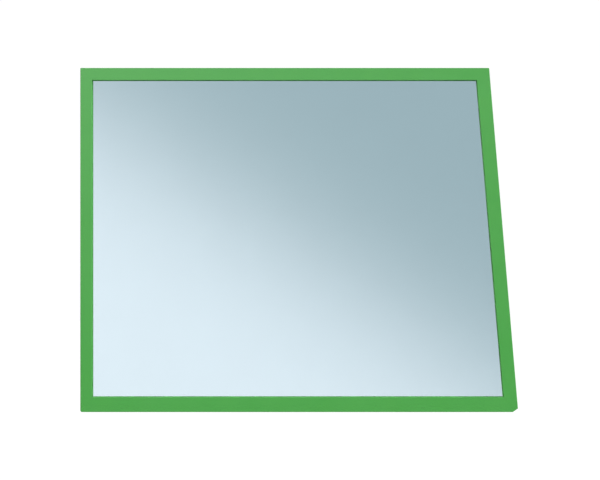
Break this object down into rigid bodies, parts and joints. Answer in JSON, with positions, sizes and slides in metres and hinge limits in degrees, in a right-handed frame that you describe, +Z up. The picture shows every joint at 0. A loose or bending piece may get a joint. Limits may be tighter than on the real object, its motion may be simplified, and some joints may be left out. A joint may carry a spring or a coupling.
{
  "type": "framed wall mirror",
  "caption": "Wall mirror in a flat satin green frame with one slanted side, a clipped lower corner, turn buttons holding its back and keyhole plates for hanging.",
  "frame": {"origin": "midway between the two keyhole entries, on the rear surface of the hanger plates", "axes": "+X to the right as the mirror is seen on the wall, +Y from the room into the wall, +Z up"},
  "size_m": [0.6995, 0.019, 0.55],
  "materials": {
    "frame_lacquer": "satin",
    "float_glass": "polished",
    "silvering": "polished",
    "safety_film": "satin",
    "kraft_board": "matte",
    "hardboard": "matte",
    "glazing_tape": "matte",
    "dark_rubber": "matte",
    "pale_plastic": "matte",
    "zinc_steel": "satin",
    "bumper_rubber": "matte"
  },
  "bodies": {
    "root": {"top_rail": "frame_lacquer", "bottom_rail": "frame_lacquer", "left_stile": "frame_lacquer", "right_stile": "frame_lacquer", "corner_v_nails": "zinc_steel", "mirror_glass": "float_glass", "silver_coating": "silvering", "safety_film": "safety_film", "cardboard_sheet": "kraft_board", "backboard": "hardboard", "glazing_tape_top": "glazing_tape", "glazing_tape_bottom": "glazing_tape", "glazing_tape_left": "glazing_tape", "glazing_tape_right": "glazing_tape", "setting_blocks": "dark_rubber", "edge_spacers": "pale_plastic", "turn_button_screws": "zinc_steel", "hanger_plate_left": "zinc_steel", "hanger_plate_right": "zinc_steel", "hanger_screws": "zinc_steel", "bumper_top_left": "bumper_rubber", "bumper_top_right": "bumper_rubber", "bumper_bottom_left": "bumper_rubber", "bumper_bottom_right": "bumper_rubber"},
    "button_top_left": {"turn_button_top_left": "zinc_steel"},
    "button_top_right": {"turn_button_top_right": "zinc_steel"},
    "button_right_upper": {"turn_button_right_upper": "zinc_steel"},
    "button_right_lower": {"turn_button_right_lower": "zinc_steel"},
    "button_bottom_right": {"turn_button_bottom_right": "zinc_steel"},
    "button_bottom_left": {"turn_button_bottom_left": "zinc_steel"},
    "button_left_lower": {"turn_button_left_lower": "zinc_steel"},
    "button_left_upper": {"turn_button_left_upper": "zinc_steel"}
  },
  "joints": [
    {"name": "turn_top_left", "type": "hinge", "parent": "root", "child": "button_top_left", "pos_m": [-0.16363, -0.0005, 0.1213], "axis": [0, 1, 0], "continuous": true},
    {"name": "turn_top_right", "type": "hinge", "parent": "root", "child": "button_top_right", "pos_m": [0.16503, -0.0005, 0.1213], "axis": [0, 1, 0], "continuous": true},
    {"name": "turn_right_upper", "type": "hinge", "parent": "root", "child": "button_right_upper", "pos_m": [0.33226, -0.0005, -0.1175], "axis": [0, 1, 0], "continuous": true},
    {"name": "turn_right_lower", "type": "hinge", "parent": "root", "child": "button_right_lower", "pos_m": [0.34853, -0.0005, -0.31], "axis": [0, 1, 0], "continuous": true},
    {"name": "turn_bottom_right", "type": "hinge", "parent": "root", "child": "button_bottom_right", "pos_m": [0.19337, -0.0005, -0.4069], "axis": [0, 1, 0], "continuous": true},
    {"name": "turn_bottom_left", "type": "hinge", "parent": "root", "child": "button_bottom_left", "pos_m": [-0.15663, -0.0005, -0.4069], "axis": [0, 1, 0], "continuous": true},
    {"name": "turn_left_lower", "type": "hinge", "parent": "root", "child": "button_left_lower", "pos_m": [-0.32353, -0.0005, -0.31], "axis": [0, 1, 0], "continuous": true},
    {"name": "turn_left_upper", "type": "hinge", "parent": "root", "child": "button_left_upper", "pos_m": [-0.32353, -0.0005, -0.1175], "axis": [0, 1, 0], "continuous": true}
  ]
}
